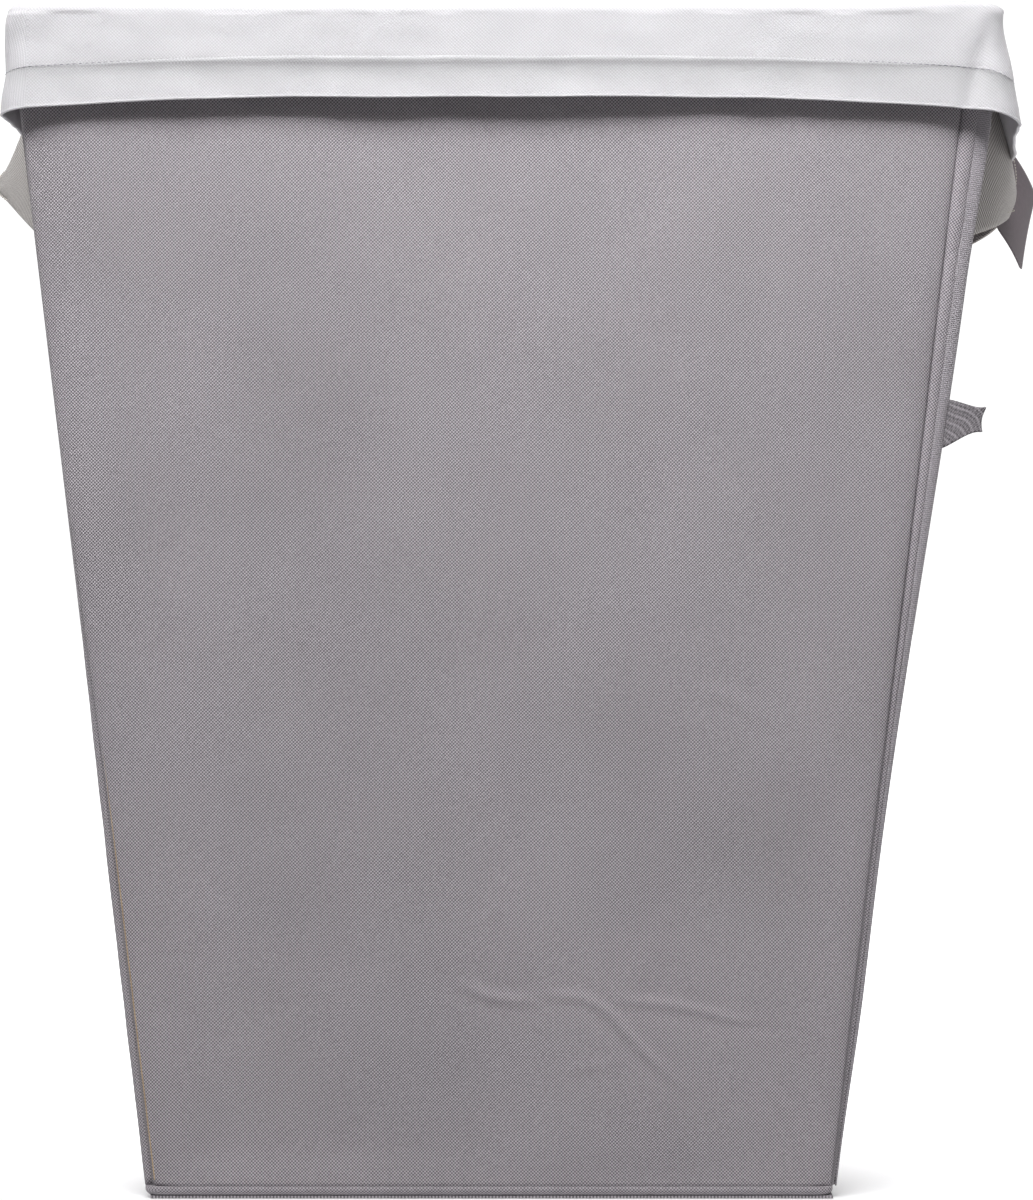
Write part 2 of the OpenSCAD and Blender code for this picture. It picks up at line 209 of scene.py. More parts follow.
def tube(name, path, radius, material, sides=20, squash=1.0):
    """A round or flattened cord along a path; radius is one number or one for each point.
    squash is its thickness along Y as a share of its width."""
    path = np.asarray(path, float)
    along = unit(np.gradient(path, axis=0))
    side = unit(np.cross(along, np.array((0.0, 1.0, 0.0))))
    up = np.cross(side, along)
    r = np.broadcast_to(radius, (len(path),))[:, None, None]
    a = np.linspace(0, 2 * math.pi, sides, endpoint=False)[None, :, None]
    ring = path[:, None] + r * (np.cos(a) * side[:, None] + np.sin(a) * squash * up[:, None])
    faces = grid_faces(len(path), sides, True)
    index = faces[..., 0] * sides + faces[..., 1] % sides
    loop_uv = loop_lengths(ring)[faces[..., 0], faces[..., 1]]
    verts = np.concatenate([ring.reshape(-1, 3), path[:1], path[-1:]])
    first, last = len(verts) - 2, len(verts) - 1
    base = (len(path) - 1) * sides
    caps = [[first, (i + 1) % sides, i] for i in range(sides)]
    caps += [[last, base + i, base + (i + 1) % sides] for i in range(sides)]
    loop_uv = np.concatenate([loop_uv.reshape(-1, 2), np.zeros((len(caps) * 3, 2))])
    return new_object(name, verts.tolist(), index.tolist() + caps, loop_uv, material)


def stitches(name, path, outward, material, pitch=3.0 * MM, length=2.1 * MM, radius=0.32 * MM):
    """A row of sewn stitches along a path; outward is the cloth's normal, one for each point."""
    path, outward = np.asarray(path, float), np.asarray(outward, float)
    steps = path_lengths(path)
    count = max(1, int(steps[-1] / pitch))
    at = (np.arange(count) + 0.5) * steps[-1] / count
    along = lambda where, values: np.stack([np.interp(where, steps, values[:, k]) for k in range(3)], 1)
    centre, normal = along(at, path), along(at, outward)
    t = unit(along(at + 0.5 * MM, path) - along(at - 0.5 * MM, path))
    side = unit(np.cross(t, normal))
    normal = np.cross(side, t)
    rings, sides = 5, 6
    verts, faces = [], []
    s = np.linspace(-1, 1, rings)
    a = np.linspace(0, 2 * math.pi, sides, endpoint=False)
    for i in range(count):
        base = len(verts)
        for k in s:
            fat = radius * (0.35 + 0.65 * math.sqrt(max(0.0, 1 - k * k)))
            for angle in a:
                verts.append(centre[i] + t[i] * k * length / 2 + side[i] * fat * math.cos(angle)
                             + normal[i] * (fat * math.sin(angle) + radius * 0.5 - radius * 0.9 * k * k))
        for k in range(rings - 1):
            for j in range(sides):
                p, q = base + k * sides + j, base + k * sides + (j + 1) % sides
                faces.append([p, q, q + sides, p + sides])
        faces.append([base + j for j in range(sides)][::-1])
        faces.append([base + (rings - 1) * sides + j for j in range(sides)])
    return new_object(name, [tuple(v) for v in verts], faces, None, material)


# ---------------------------------------------------------------- materials

class Graph:
    """Short ways to add shader nodes to a new material."""

    def __init__(self, name):
        self.material = bpy.data.materials.new(name)
        self.material.use_nodes = True
        self.tree = self.material.node_tree
        self.shader = self.tree.nodes["Principled BSDF"]

    def node(self, kind, **values):
        n = self.tree.nodes.new(kind)
        for key, value in values.items():
            setattr(n, key, value)
        return n

    def put(self, value, socket):
        if isinstance(value, bpy.types.NodeSocket):
            self.tree.links.new(value, socket)
        else:
            socket.default_value = value

    def math(self, operation, *values):
        n = self.node("ShaderNodeMath", operation=operation)
        for value, socket in zip(values, n.inputs):
            self.put(value, socket)
        return n.outputs[0]

    def mix(self, share, a, b):
        n = self.node("ShaderNodeMix", data_type="RGBA")
        self.put(share, n.inputs["Factor"])
        self.put(a if isinstance(a, bpy.types.NodeSocket) else (*a, 1), n.inputs[6])
        self.put(b if isinstance(b, bpy.types.NodeSocket) else (*b, 1), n.inputs[7])
        return n.outputs[2]

    def noise(self, vector, scale, detail=2.0):
        n = self.node("ShaderNodeTexNoise")
        self.put(vector, n.inputs["Vector"])
        n.inputs["Scale"].default_value = scale
        n.inputs["Detail"].default_value = detail
        return n.outputs["Fac"]

    def span(self, value, low, high, to_low=0.0, to_high=1.0):
        n = self.node("ShaderNodeMapRange")
        for v, socket in zip((value, low, high, to_low, to_high), n.inputs):
            self.put(v, socket)
        return n.outputs[0]

    def surface(self, color, roughness, height=None, depth=0.2 * MM, strength=0.5, sheen=0.0):
        self.put(color if isinstance(color, bpy.types.NodeSocket) else (*color, 1),
                 self.shader.inputs["Base Color"])
        self.put(roughness, self.shader.inputs["Roughness"])
        self.shader.inputs["Specular IOR Level"].default_value = 0.25
        if sheen:
            self.shader.inputs["Sheen Weight"].default_value = sheen
            self.shader.inputs["Sheen Roughness"].default_value = 0.5
        if height is not None:
            bump = self.node("ShaderNodeBump")
            bump.inputs["Distance"].default_value = depth
            bump.inputs["Strength"].default_value = strength
            self.put(height, bump.inputs["Height"])
            self.tree.links.new(bump.outputs[0], self.shader.inputs["Normal"])
        return self.material

    def plane(self, kind):
        """The cloth's own two directions in metres, and the object's coordinates."""
        coords = self.node("ShaderNodeTexCoord")
        split = self.node("ShaderNodeSeparateXYZ")
        self.put(coords.outputs["UV"] if kind == "uv" else coords.outputs["Object"], split.inputs[0])
        x, y, z = split.outputs
        u, v = {"uv": (x, y), "xz": (x, z), "yz": (y, z), "xy": (x, y)}[kind]
        return u, v, coords.outputs["Object"]


def oxford(name, dark, light, pitch=1.22 * MM, kind="uv", sheen=0.1, mottle=0.10, contrast=1.0):
    """Woven oxford cloth: rows of small raised dots set diagonally, with uneven yarn and tone."""
    g = Graph(name)
    u, v, place = g.plane(kind)
    yarn = g.noise(place, 900.0, 1.0)
    wobble = g.math("MULTIPLY", g.math("SUBTRACT", g.noise(place, 60.0, 2.0), 0.5), 0.7)
    turn = 2 * math.pi / pitch / math.sqrt(2)
    a = g.math("SINE", g.math("ADD", g.math("MULTIPLY", g.math("ADD", u, v), turn), wobble))
    b = g.math("SINE", g.math("SUBTRACT", g.math("MULTIPLY", g.math("SUBTRACT", u, v), turn), wobble))
    dots = g.math("MULTIPLY_ADD", g.math("ADD", a, b), 0.25, 0.5)
    fleck = g.math("MULTIPLY_ADD", g.math("SUBTRACT", yarn, 0.5), 0.28, dots)
    share = g.span(fleck, 0.5 - 0.34 / contrast, 0.5 + 0.42 / contrast)
    thread = g.mix(share, dark, light)
    tone = g.span(g.noise(place, 9.0, 3.0), 0.25, 0.75, 1.0 - mottle, 1.0 + mottle * 0.6)
    shade = g.node("ShaderNodeMix", data_type="RGBA", blend_type="MULTIPLY")
    shade.inputs["Factor"].default_value = 1.0
    g.put(thread, shade.inputs[6])
    grey = g.node("ShaderNodeCombineColor")
    for socket in grey.inputs:
        g.put(tone, socket)
    g.put(grey.outputs[0], shade.inputs[7])
    rough = g.span(dots, 0.0, 1.0, 0.92, 0.7)
    return g.surface(shade.outputs[2], rough, fleck, 0.35 * MM, 0.5, sheen)


def webbing(name, dark, light, pitch=1.6 * MM, kind="uv", rib=0.5):
    """Woven tape: twill lines crossed by weft ribs."""
    g = Graph(name)
    u, v, place = g.plane(kind)
    wobble = g.math("MULTIPLY", g.math("SUBTRACT", g.noise(place, 120.0, 2.0), 0.5), 1.6)
    turn = 2 * math.pi / pitch
    weft = g.math("SINE", g.math("ADD", g.math("MULTIPLY", u, turn), wobble))
    warp = g.math("SINE", g.math("ADD", g.math("MULTIPLY", v, turn), wobble))
    twill = g.math("SINE", g.math("MULTIPLY", g.math("ADD", u, v), turn * 0.5))
    height = g.math("MULTIPLY_ADD", g.math("MULTIPLY", weft, warp), 0.25, 0.5)
    height = g.math("MULTIPLY_ADD", weft, 0.25 * rib, height)
    height = g.math("MULTIPLY_ADD", twill, 0.12, height)
    fleck = g.math("MULTIPLY_ADD", g.math("SUBTRACT", g.noise(place, 1300.0, 1.0), 0.5), 0.6, height)
    color = g.mix(g.span(fleck, 0.12, 0.9), dark, light)
    return g.surface(color, 0.85, fleck, 0.5 * MM, 0.7, 0.1)


def board_material(name, dark, light):
    """Brown fibre board, flecked and rough."""
    g = Graph(name)
    _, _, place = g.plane("uv")
    fibre = g.noise(place, 700.0, 4.0)
    fleck = g.span(g.noise(place, 180.0, 3.0), 0.35, 0.7)
    return g.surface(g.mix(fleck, dark, light), g.span(fibre, 0.3, 0.7, 0.8, 0.95), fibre, 0.2 * MM, 0.5)


def card_material(name):
    """Smooth printed card with a faint fibre."""
    g = Graph(name)
    _, _, place = g.plane("uv")
    fibre = g.noise(place, 500.0, 4.0)
    color = g.mix(g.span(fibre, 0.3, 0.7), (0.098, 0.078, 0.088), (0.135, 0.110, 0.122))
    return g.surface(color, g.span(fibre, 0.2, 0.8, 0.45, 0.6), fibre, 0.05 * MM, 0.4)


def thread_material(name, dark, light):
    """Sewing thread, or anything small and plain, with a fine ply."""
    g = Graph(name)
    _, _, place = g.plane("uv")
    ply = g.noise(place, 2500.0, 2.0)
    return g.surface(g.mix(g.span(ply, 0.3, 0.7), dark, light), 0.7, ply, 0.1 * MM, 0.6, 0.1)


# each pair is the yarn's darkest and lightest colour; a name's ending is the plane that the weave lies in
GREY_YARN = (0.085, 0.076, 0.086), (0.50, 0.468, 0.497)
LINING_YARN = (0.20, 0.187, 0.20), (0.38, 0.36, 0.38)
TAPE_YARN = (0.20, 0.185, 0.20), (0.42, 0.395, 0.42)
DARK_YARN = (0.05, 0.045, 0.05), (0.30, 0.28, 0.30)
LINING_PITCH, TAPE_PITCH, DARK_PITCH = 0.9 * MM, 1.0 * MM, 2.2 * MM

GREY = oxford("oxford_grey", *GREY_YARN)
GREY_YZ = oxford("oxford_grey_yz", *GREY_YARN, kind="yz")
GREY_XY = oxford("oxford_grey_xy", *GREY_YARN, kind="xy")
LINING_XZ, LINING_YZ, LINING_XY, LINING = (oxford(f"lining_{kind}", *LINING_YARN, LINING_PITCH, kind)
                                           for kind in ("xz", "yz", "xy", "uv"))
WHITE = oxford("liner_white", (0.435, 0.425, 0.445), (0.56, 0.55, 0.575), sheen=0.1, mottle=0.03)
soft_white = next(n for n in WHITE.node_tree.nodes if n.type == "BSDF_PRINCIPLED")
soft_white.inputs["Subsurface Weight"].default_value = 0.5
soft_white.inputs["Subsurface Radius"].default_value = (1.0, 0.95, 1.0)
soft_white.inputs["Subsurface Scale"].default_value = 3 * MM
RIBBED = webbing("ribbed_tape", *TAPE_YARN, TAPE_PITCH, rib=1.4)
RIBBED_Z = webbing("ribbed_tape_z", *TAPE_YARN, TAPE_PITCH, "yz", rib=1.4)
BEIGE = oxford("webbing_beige", (0.175, 0.160, 0.153), (0.60, 0.57, 0.55), 1.45 * MM, mottle=0.08)
BEIGE_YZ = webbing("webbing_beige_yz", (0.16, 0.145, 0.14), (0.37, 0.345, 0.335), 1.7 * MM, "yz", rib=0.5)
DARK_WEB = webbing("webbing_dark", *DARK_YARN, DARK_PITCH, rib=0.3)
DARK_WEB_XY = webbing("webbing_dark_xy", *DARK_YARN, DARK_PITCH, "xy", rib=0.3)
BOARD = board_material("fibre_board", (0.30, 0.22, 0.14), (0.42, 0.32, 0.21))
CARD = card_material("tag_card")
THREAD_GREY = thread_material("thread_grey", (0.28, 0.26, 0.28), (0.45, 0.43, 0.45))
# the cuff's hem thread is coloured dark grey as painted shade of the stitch groove, not as the thread's own colour
HEM_THREAD_SHADE_DARK = thread_material("hem_thread_painted_shade", (0.17, 0.17, 0.19), (0.26, 0.26, 0.28))
THREAD_BEIGE = thread_material("thread_beige", (0.4, 0.37, 0.33), (0.6, 0.57, 0.52))
PLASTIC = thread_material("pin_plastic", (0.55, 0.55, 0.55), (0.7, 0.7, 0.7))


def dress(node, material):
    """Gives a CAD node that stays a material of its own."""
    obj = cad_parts[node]
    for s in obj.material_slots:
        s.material = material
    if not obj.material_slots:
        obj.data.materials.append(material)


def own(obj, body, slot, *nodes):
    """The piece rides on a body and stands for CAD nodes, which it hides; slot is not used."""
    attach(obj, body)
    if nodes:
        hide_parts(*nodes)
    return obj


# ---------------------------------------------------------------- front and back panels

EDGE_W = 15 * MM           # how far in from its edge a cover begins to roll round its board
EDGE_D = 3.6 * MM          # how far it rolls back
PUFF = 1.3 * MM            # how far the cover stands off its board

CREASES = [  # pressed folds low on the front: points (x, z), width, height
    ([(-.0156, .1097), (-.0013, .1030), (.0223, .1005)], 2.4 * MM, 0.75 * MM),
    ([(.0274, .1046), (.0469, .1030), (.0602, .0953), (.0720, .0820), (.0812, .0718), (.1007, .0559)],
     2.3 * MM, 0.85 * MM),
    ([(.0602, .1020), (.0941, .0989), (.1253, .0917), (.1438, .0912)], 2.2 * MM, 0.65 * MM),
    ([(.1320, .0846), (.1412, .0794)], 2.0 * MM, 0.45 * MM),
    ([(.1386, .0625), (.1504, .0456), (.1597, .0205)], 2.2 * MM, 0.6 * MM),
    ([(.0889, .1461), (.0930, .1399)], 2.4 * MM, 0.4 * MM),
    ([(-.0038, .1410), (.0013, .1476)], 2.4 * MM, 0.4 * MM),
    ([(.0402, .0666), (.0602, .0692)], 2.6 * MM, 0.35 * MM),
    ([(.1069, .2604), (.1240, .2560), (.1376, .2450)], 3.2 * MM, 0.35 * MM),
    ([(.0812, .1271), (.0700, .1080)], 5.0 * MM, 0.35 * MM),
    ([(.1880, .2650), (.1860, .2500), (.1780, .2430)], 3.0 * MM, 0.3 * MM),
]


def piping_in(z, side):
    """How far the front cover's edge stops short of the wall's outline, on the left or right."""
    if side < 0:
        return 2.6 * MM * smooth((0.40 - z) / 0.25)
    return 0.5 * MM + 1.2 * MM * smooth((0.40 - z) / 0.3)


def front_relief(x, z):
    """How far the front cover stands out from its mean: soft sags, long soft folds and pressed creases."""
    h = 1.5 * MM * ripples(x, z, 5, 0.16, 0.42)
    h = h + 0.30 * MM * ripples(x, z, 11, 0.05, 0.11)
    h = h + 0.9 * MM * np.exp(-(((x + 0.095 + 0.1 * (z - 0.45)) / 0.028) ** 2)) * smooth((z - 0.28) / 0.2)
    h = h + 0.9 * MM * np.exp(-(((x - 0.108) / 0.022) ** 2)) * smooth((z - 0.34) / 0.2)
    h = h - 0.7 * MM * np.exp(-(((x - z * 0.55 + 0.16) / 0.05) ** 2)) * smooth((0.5 - z) / 0.3)
    for points, width, height in CREASES:
        h = h + 1.3 * crease(x, z, points, width, height)
    return h


def back_relief(x, z):
    """The same for the back cover, with soft sags only."""
    return 1.0 * MM * ripples(x, z, 23, 0.15, 0.4) + 0.2 * MM * ripples(x, z, 29, 0.05, 0.1)


def wide_panel(name, face, relief, columns, rows, inset):
    """The cover of the front (face -1) or back (face 1): stretched over its board and turned at its edges."""
    z = WALL_LOW + (WALL_TOP - WALL_LOW) * np.linspace(0, 1, rows)
    turn = np.linspace(0.12, math.pi / 2, 12)
    roll_x, roll_d = EDGE_W * np.sin(turn), EDGE_D * (1 - np.cos(turn))
    roll_u = np.cumsum(np.hypot(np.diff(roll_x, prepend=0), np.diff(roll_d, prepend=0))) - roll_x
    s = np.linspace(-1, 1, columns)
    grid = np.zeros((rows, columns + 2 * len(turn), 3))
    for i, zi in enumerate(z):
        left = -(half_w(zi) - inset(zi, -1)) + EDGE_W
        right = half_w(zi) - inset(zi, 1) - EDGE_W
        x_flat = left + (right - left) * (s + 1) / 2
        x = np.concatenate([left - roll_x[::-1], x_flat, right + roll_x])
        drop = np.concatenate([roll_d[::-1], 0 * x_flat, roll_d])
        edge = smooth(np.minimum(x - x.min(), x.max() - x) / 0.03)
        rim = smooth((WALL_TOP - zi) / 0.03) * smooth((zi - WALL_LOW) / 0.02)
        out = PUFF + np.clip(relief(x, zi), -1.8 * MM, 4 * MM) * edge * rim
        grid[i, :, 0] = x
        grid[i, :, 1] = face * (BACK_Y + np.maximum(out, -0.6 * MM) - drop)
        grid[i, :, 2] = zi
    uv = np.stack([grid[..., 0], grid[..., 2]], 2)
    uv[..., 0] += np.concatenate([-roll_u[::-1], 0 * s, roll_u])
    inner = grid.copy()
    inner[..., 1] -= face * 0.7 * MM
    inner[..., 0] *= 1 - 0.7 * MM / np.maximum(np.abs(grid[..., 0]), 0.02)
    return shell(name, grid, inner, uv, GREY)


front = own(wide_panel("front_cover_cloth", -1, front_relief, 230, 300, piping_in),
            "front", "oxford_grey", "front_cover")
back = own(wide_panel("back_cover_cloth", 1, back_relief, 120, 150, lambda z, side: 0.0),
           "back_and_floor", "oxford_grey", "back_cover")

# ---------------------------------------------------------------- side walls

CENTRE_GAP = 0.5 * MM


def flare(z):
    """How far the right front corner's seam stands out beyond the wall."""
    rise = 9.6 * MM * smooth((z - 0.15) / 0.36) + 2.5 * MM * smooth((z - 0.47) / 0.08)
    return 2.6 * MM + rise - 2.2 * MM * smooth((0.11 - z) / 0.10)


def left_flare(z):
    """The same for the left front corner, which stays much closer."""
    return 1.5 * MM * smooth((0.40 - z) / 0.3)


def on_side(side, x1, y, u):
    """A point given in a side wall's own directions: out from the wall, along it, and up its slope."""
    c, s = math.cos(LEAN_ANGLE), math.sin(LEAN_ANGLE)
    x = FLOOR_HALF_W + x1 * c + u * s
    z = -x1 * s + u * c
    return spread(side * x, y, z)


def corner_flare(y, y_far, z):
    """How the right wall's front half bends out to meet the flared corner seam."""
    return (flare(z) - 1.5 * MM) * smooth((y / y_far - 0.45) / 0.55) ** 1.6


def side_half(name, side, end, seed, body, node):
    """One half of a side wall's cover, soft between its crease and its corner seam."""
    lo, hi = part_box(node)
    y_far = hi.y if end > 0 else lo.y
    y_near = CENTRE_GAP * end
    cosine = math.cos(LEAN_ANGLE)
    u = np.linspace(WALL_LOW / cosine, hi.z / cosine, 170)[:, None]
    y = np.linspace(y_near, y_far, 70)[None, :]
    z = u * cosine
    t = (y - y_near) / (y_far - y_near)
    h = 0.6 * MM + 0.9 * MM * (ripples(y, z, seed, 0.13, 0.35) + 0.4) * smooth(t / 0.2) * smooth((1 - t) / 0.12)
    h = h + 0.2 * MM * ripples(y, z, seed + 3, 0.04, 0.09) * smooth(t / 0.2) * smooth((1 - t) / 0.12)
    h = h + 1.1 * MM * smooth((t - 0.02) / 0.12) * smooth((1 - t) / 0.1)
    h = np.maximum(h, 0.15 * MM)
    if side > 0 and end < 0:
        h = h + corner_flare(y, y_far, z)
    points = on_side(side, h, y, u)
    inner = on_side(side, h - 0.6 * MM, y, u)
    uv = spread(y, u)
    obj = shell(name, points, inner, uv, GREY)
    return own(obj, body, "oxford_grey", node)


side_covers = {}
for side, word in ((1, "right"), (-1, "left")):
    for end, part in ((1, "rear"), (-1, "front")):
        side_covers[word, part] = side_half(f"{word}_{part}_cover_cloth", side, end, 40 + 7 * side + 3 * end,
                                            f"{word}_{part}", f"{word}_{part}_cover")

# the front corners: a rolled piping strip, and on the right a ribbed tape that shows its edge outside it
corner_z = np.linspace(WALL_LOW + 0.3 * MM, WALL_TOP - 1.5 * MM, 150)


def corner_strip(name, side, centre, y_mid, r, node, squash):
    """Piping up a front corner; centre and r are functions of the height."""
    path = np.stack([side * centre(corner_z), 0 * corner_z + y_mid, corner_z], 1)
    wave = 1 + 0.04 * ripples(corner_z, 0 * corner_z, 71, 0.02, 0.06)
    obj = tube(name, path, r(corner_z) * wave, GREY, 26, squash)
    return own(obj, "front", "oxford_grey", node)


def seam_w(z):
    """Width of the right corner's seam seen from the front, piping and tape together."""
    return flare(z) + 0.6 * MM


def band_out(z):
    """How far the ribbed tape's edge stands out from the wall."""
    return seam_w(z) - 0.2 * MM


corner_strip("right_front_piping", 1, lambda z: half_w(z) - 0.3 * MM + 0.29 * seam_w(z), FRONT_Y + 4.8 * MM,
             lambda z: 0.31 * seam_w(z) + 0.5 * MM, "front_piping_right", 0.8)
corner_strip("left_front_piping", -1, lambda z: half_w(z) + left_flare(z) - 2.2 * MM, FRONT_Y + 7.5 * MM,
             lambda z: 3.3 * MM + 0 * z, "front_piping_left", 1.1)


LIP_Y = FRONT_Y + 3.2 * MM  # how far forward the ribbed tape's turned lip comes


def ribbed_band(name, side, node, body, lip):
    """Flat ribbed tape along a corner; its lip is turned forward so that it shows beside the piping."""
    lo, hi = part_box(node)
    cosine = math.cos(LEAN_ANGLE)
    u = np.linspace(lo.z / cosine, (WALL_TOP - 8 * MM) / cosine, 160)[:, None]
    z = u * cosine
    back = np.linspace(0, 1, 22)[None, :]
    y_start, y_end = (LIP_Y + 3 * MM, LIP_Y + 25.8 * MM) if lip else (lo.y, hi.y)
    y_back = y_start + back * (y_end - y_start)
    if lip:
        x_back = np.where(y_back > lo.y, corner_flare(y_back, lo.y, z) + 2.6 * MM, 0)
        x_back = np.maximum(x_back, band_out(z) * smooth((LIP_Y + 23.8 * MM - y_back) / 0.010))
        across = np.linspace(0, 1, 14)[None, :-1]
        x_lip = band_out(z) * (0.52 + 0.48 * np.sin(across * math.pi / 2) ** 0.9)
        y_lip = LIP_Y + 3.0 * MM * (1 - np.cos(across * math.pi / 2)) + 0 * z
        x1 = np.concatenate([x_lip, x_back], 1)
        y = np.concatenate([y_lip, y_back + 0 * z], 1)
    else:
        x1 = 1.9 * MM + 0.3 * MM * np.sin(math.pi * back) + 0 * z
        y = y_back + 0 * z
    points = on_side(side, x1, y, u)
    width = arc_lengths(points)[..., 0]
    uv = np.stack([np.broadcast_to(u, width.shape), width], 2)
    obj = cloth(name, points, 0.8 * MM, uv, RIBBED, inward=side)
    return own(obj, body, "tape_grey", node)


right_band = ribbed_band("right_edge_band", 1, "right_edge_tape", "right_front", True)
left_band = ribbed_band("left_edge_band", -1, "left_edge_tape", "left_front", False)

# ---------------------------------------------------------------- the floor's welt


def rounded_outline(hx, hy, r, per_corner, per_side):
    """Points round a rectangle with round corners, anticlockwise from above, from the front's left end."""
    pts = []
    corners = [(hx - r, -(hy - r), -90), (hx - r, hy - r, 0), (-(hx - r), hy - r, 90), (-(hx - r), -(hy - r), 180)]
    starts = [(-(hx - r), -hy), (hx, -(hy - r)), (hx - r, hy), (-hx, hy - r)]
    ends = [(hx - r, -hy), (hx, hy - r), (-(hx - r), hy), (-hx, -(hy - r))]
    for (cx, cy, a0), (sx, sy), (ex, ey), n in zip(corners, starts, ends, [per_side, per_side * 2 // 3] * 2):
        for k in range(n):
            t = k / n
            pts.append((sx + (ex - sx) * t, sy + (ey - sy) * t))
        for k in range(per_corner):
            a = math.radians(a0 + 90 * k / per_corner)
            pts.append((cx + r * math.cos(a), cy + r * math.sin(a)))
    return np.array(pts)


def outline_normals(plan):
    """Outward unit normals of an anticlockwise outline."""
    n = np.roll(plan, -1, 0) - np.roll(plan, 1, 0)
    return unit(np.stack([n[:, 1], -n[:, 0]], 1))


welt_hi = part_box("base_welt")[1]
WELT_R = 4.4 * MM
welt_top = WALL_LOW - 0.1 * MM
welt_plan = rounded_outline(welt_hi.x + 1.6 * MM, welt_hi.y + PUFF, 7 * MM, 12, 200)
welt_plan[:, 0] -= 1.3 * MM
welt_out = outline_normals(welt_plan)
profile = [(-4.6 * MM, welt_top), (-2.0 * MM, welt_top), (0.0, welt_top), (0.0, WELT_R)]
profile += [(-7.0 * MM * (1 - math.cos(t)), WELT_R - (WELT_R - 0.2 * MM) * math.sin(t))
            for t in np.linspace(0.12, math.pi / 2, 10)]
profile += [(-8 * MM, 0.2 * MM), (-8 * MM, welt_top / 2)]
ring = np.array([np.column_stack([welt_plan + welt_out * out, np.full(len(welt_plan), z)])
                 for out, z in profile])
closed = np.concatenate([ring, ring[:1]])
ring_uv = loop_lengths(closed)
nearest = int(np.argmin(np.abs(welt_plan[:, 0]) + 10 * (welt_plan[:, 1] > 0)))
ring_uv[..., 0] += welt_plan[nearest, 0] - ring_uv[2, nearest, 0]
ring_uv[..., 1] += welt_top - ring_uv[2, 0, 1]
quads = grid_faces(len(closed), len(welt_plan), True)
index = (quads[..., 0] % len(ring)) * len(welt_plan) + quads[..., 1] % len(welt_plan)
welt = new_object("floor_welt_cloth", ring.reshape(-1, 3).tolist(), index[:, ::-1].tolist(),
                  ring_uv[quads[:, ::-1, 0], quads[:, ::-1, 1]], GREY)
own(welt, "back_and_floor", "oxford_grey", "base_welt")

# ---------------------------------------------------------------- liner: cuff and bag

CUFF_TOP = CUFF_HI.z + 2.4 * MM
CUFF_LEFT, CUFF_RIGHT = 0.2490, 0.2630      # half widths of the cuff at its top, left and right
CUFF_DEEP = 0.1705                          # and its half depth
CUFF_IN_X, CUFF_IN_Y = 0.235, 0.1566        # the same on the inside of its roll
HEM = 20.5 * MM
ROLL_H = 5.3 * MM                           # how far below the top the rolled rim ends outside
EDGE_R = 0.9 * MM                           # radius of the cuff's turned lower edge


def plan_loop(left, right, deep, r):
    """Outline of the cuff, which need not be in the middle from left to right."""
    plan = rounded_outline((left + right) / 2, deep, r, 26, 230)
    return plan + np.array([(right - left) / 2, 0.0])


cuff_plan = plan_loop(CUFF_LEFT, CUFF_RIGHT, CUFF_DEEP, 12 * MM)
cuff_inner = plan_loop(CUFF_IN_X, CUFF_IN_X, CUFF_IN_Y, 6 * MM)
cuff_out = outline_normals(cuff_plan)
cuff_along = path_lengths(cuff_plan)
px, py = cuff_plan[:, 0], cuff_plan[:, 1]
frontness = np.clip(-cuff_out[:, 1], 0, 1)
backness = np.clip(cuff_out[:, 1], 0, 1)
rightness = np.clip(cuff_out[:, 0], 0, 1)
leftness = np.clip(-cuff_out[:, 0], 0, 1)
over_handle = smooth((0.165 - np.abs(py)) / 0.15)     # the handle pushes the right side out

# height of the lower edge: it droops towards the front corners and hangs lowest on the right
EDGE_FRONT, EDGE_BACK, EDGE_LEFT, EDGE_RIGHT = 0.5639, 0.552, 0.5560, 0.5505
edge_z = (EDGE_FRONT - 6.6 * MM * np.abs(px / 0.25) ** 3.2) * frontness ** 2 + EDGE_BACK * backness ** 2
edge_z = edge_z + EDGE_LEFT * leftness ** 2
edge_z = edge_z + (EDGE_RIGHT - 2 * MM * smooth((py + 0.15) / 0.15)) * rightness ** 2
edge_z = edge_z + 0.45 * MM * ripples(cuff_along, 0 * cuff_along, 81, 0.05, 0.16)
# how far the lower edge stands out beyond the top
flare_out = 1.5 * MM + 0.8 * MM * leftness + (6.5 * MM + 14.5 * MM * over_handle) * rightness
flare_out = flare_out + 3.5 * MM * frontness + 3.0 * MM * backness

corner_near = np.ones_like(px)
for hx in (-CUFF_LEFT, CUFF_RIGHT):
    for hy in (-CUFF_DEEP, CUFF_DEEP):
        corner_near = np.minimum(corner_near, np.hypot(px - hx, py - hy) / 0.045)
corner_near = 1 - smooth(corner_near)


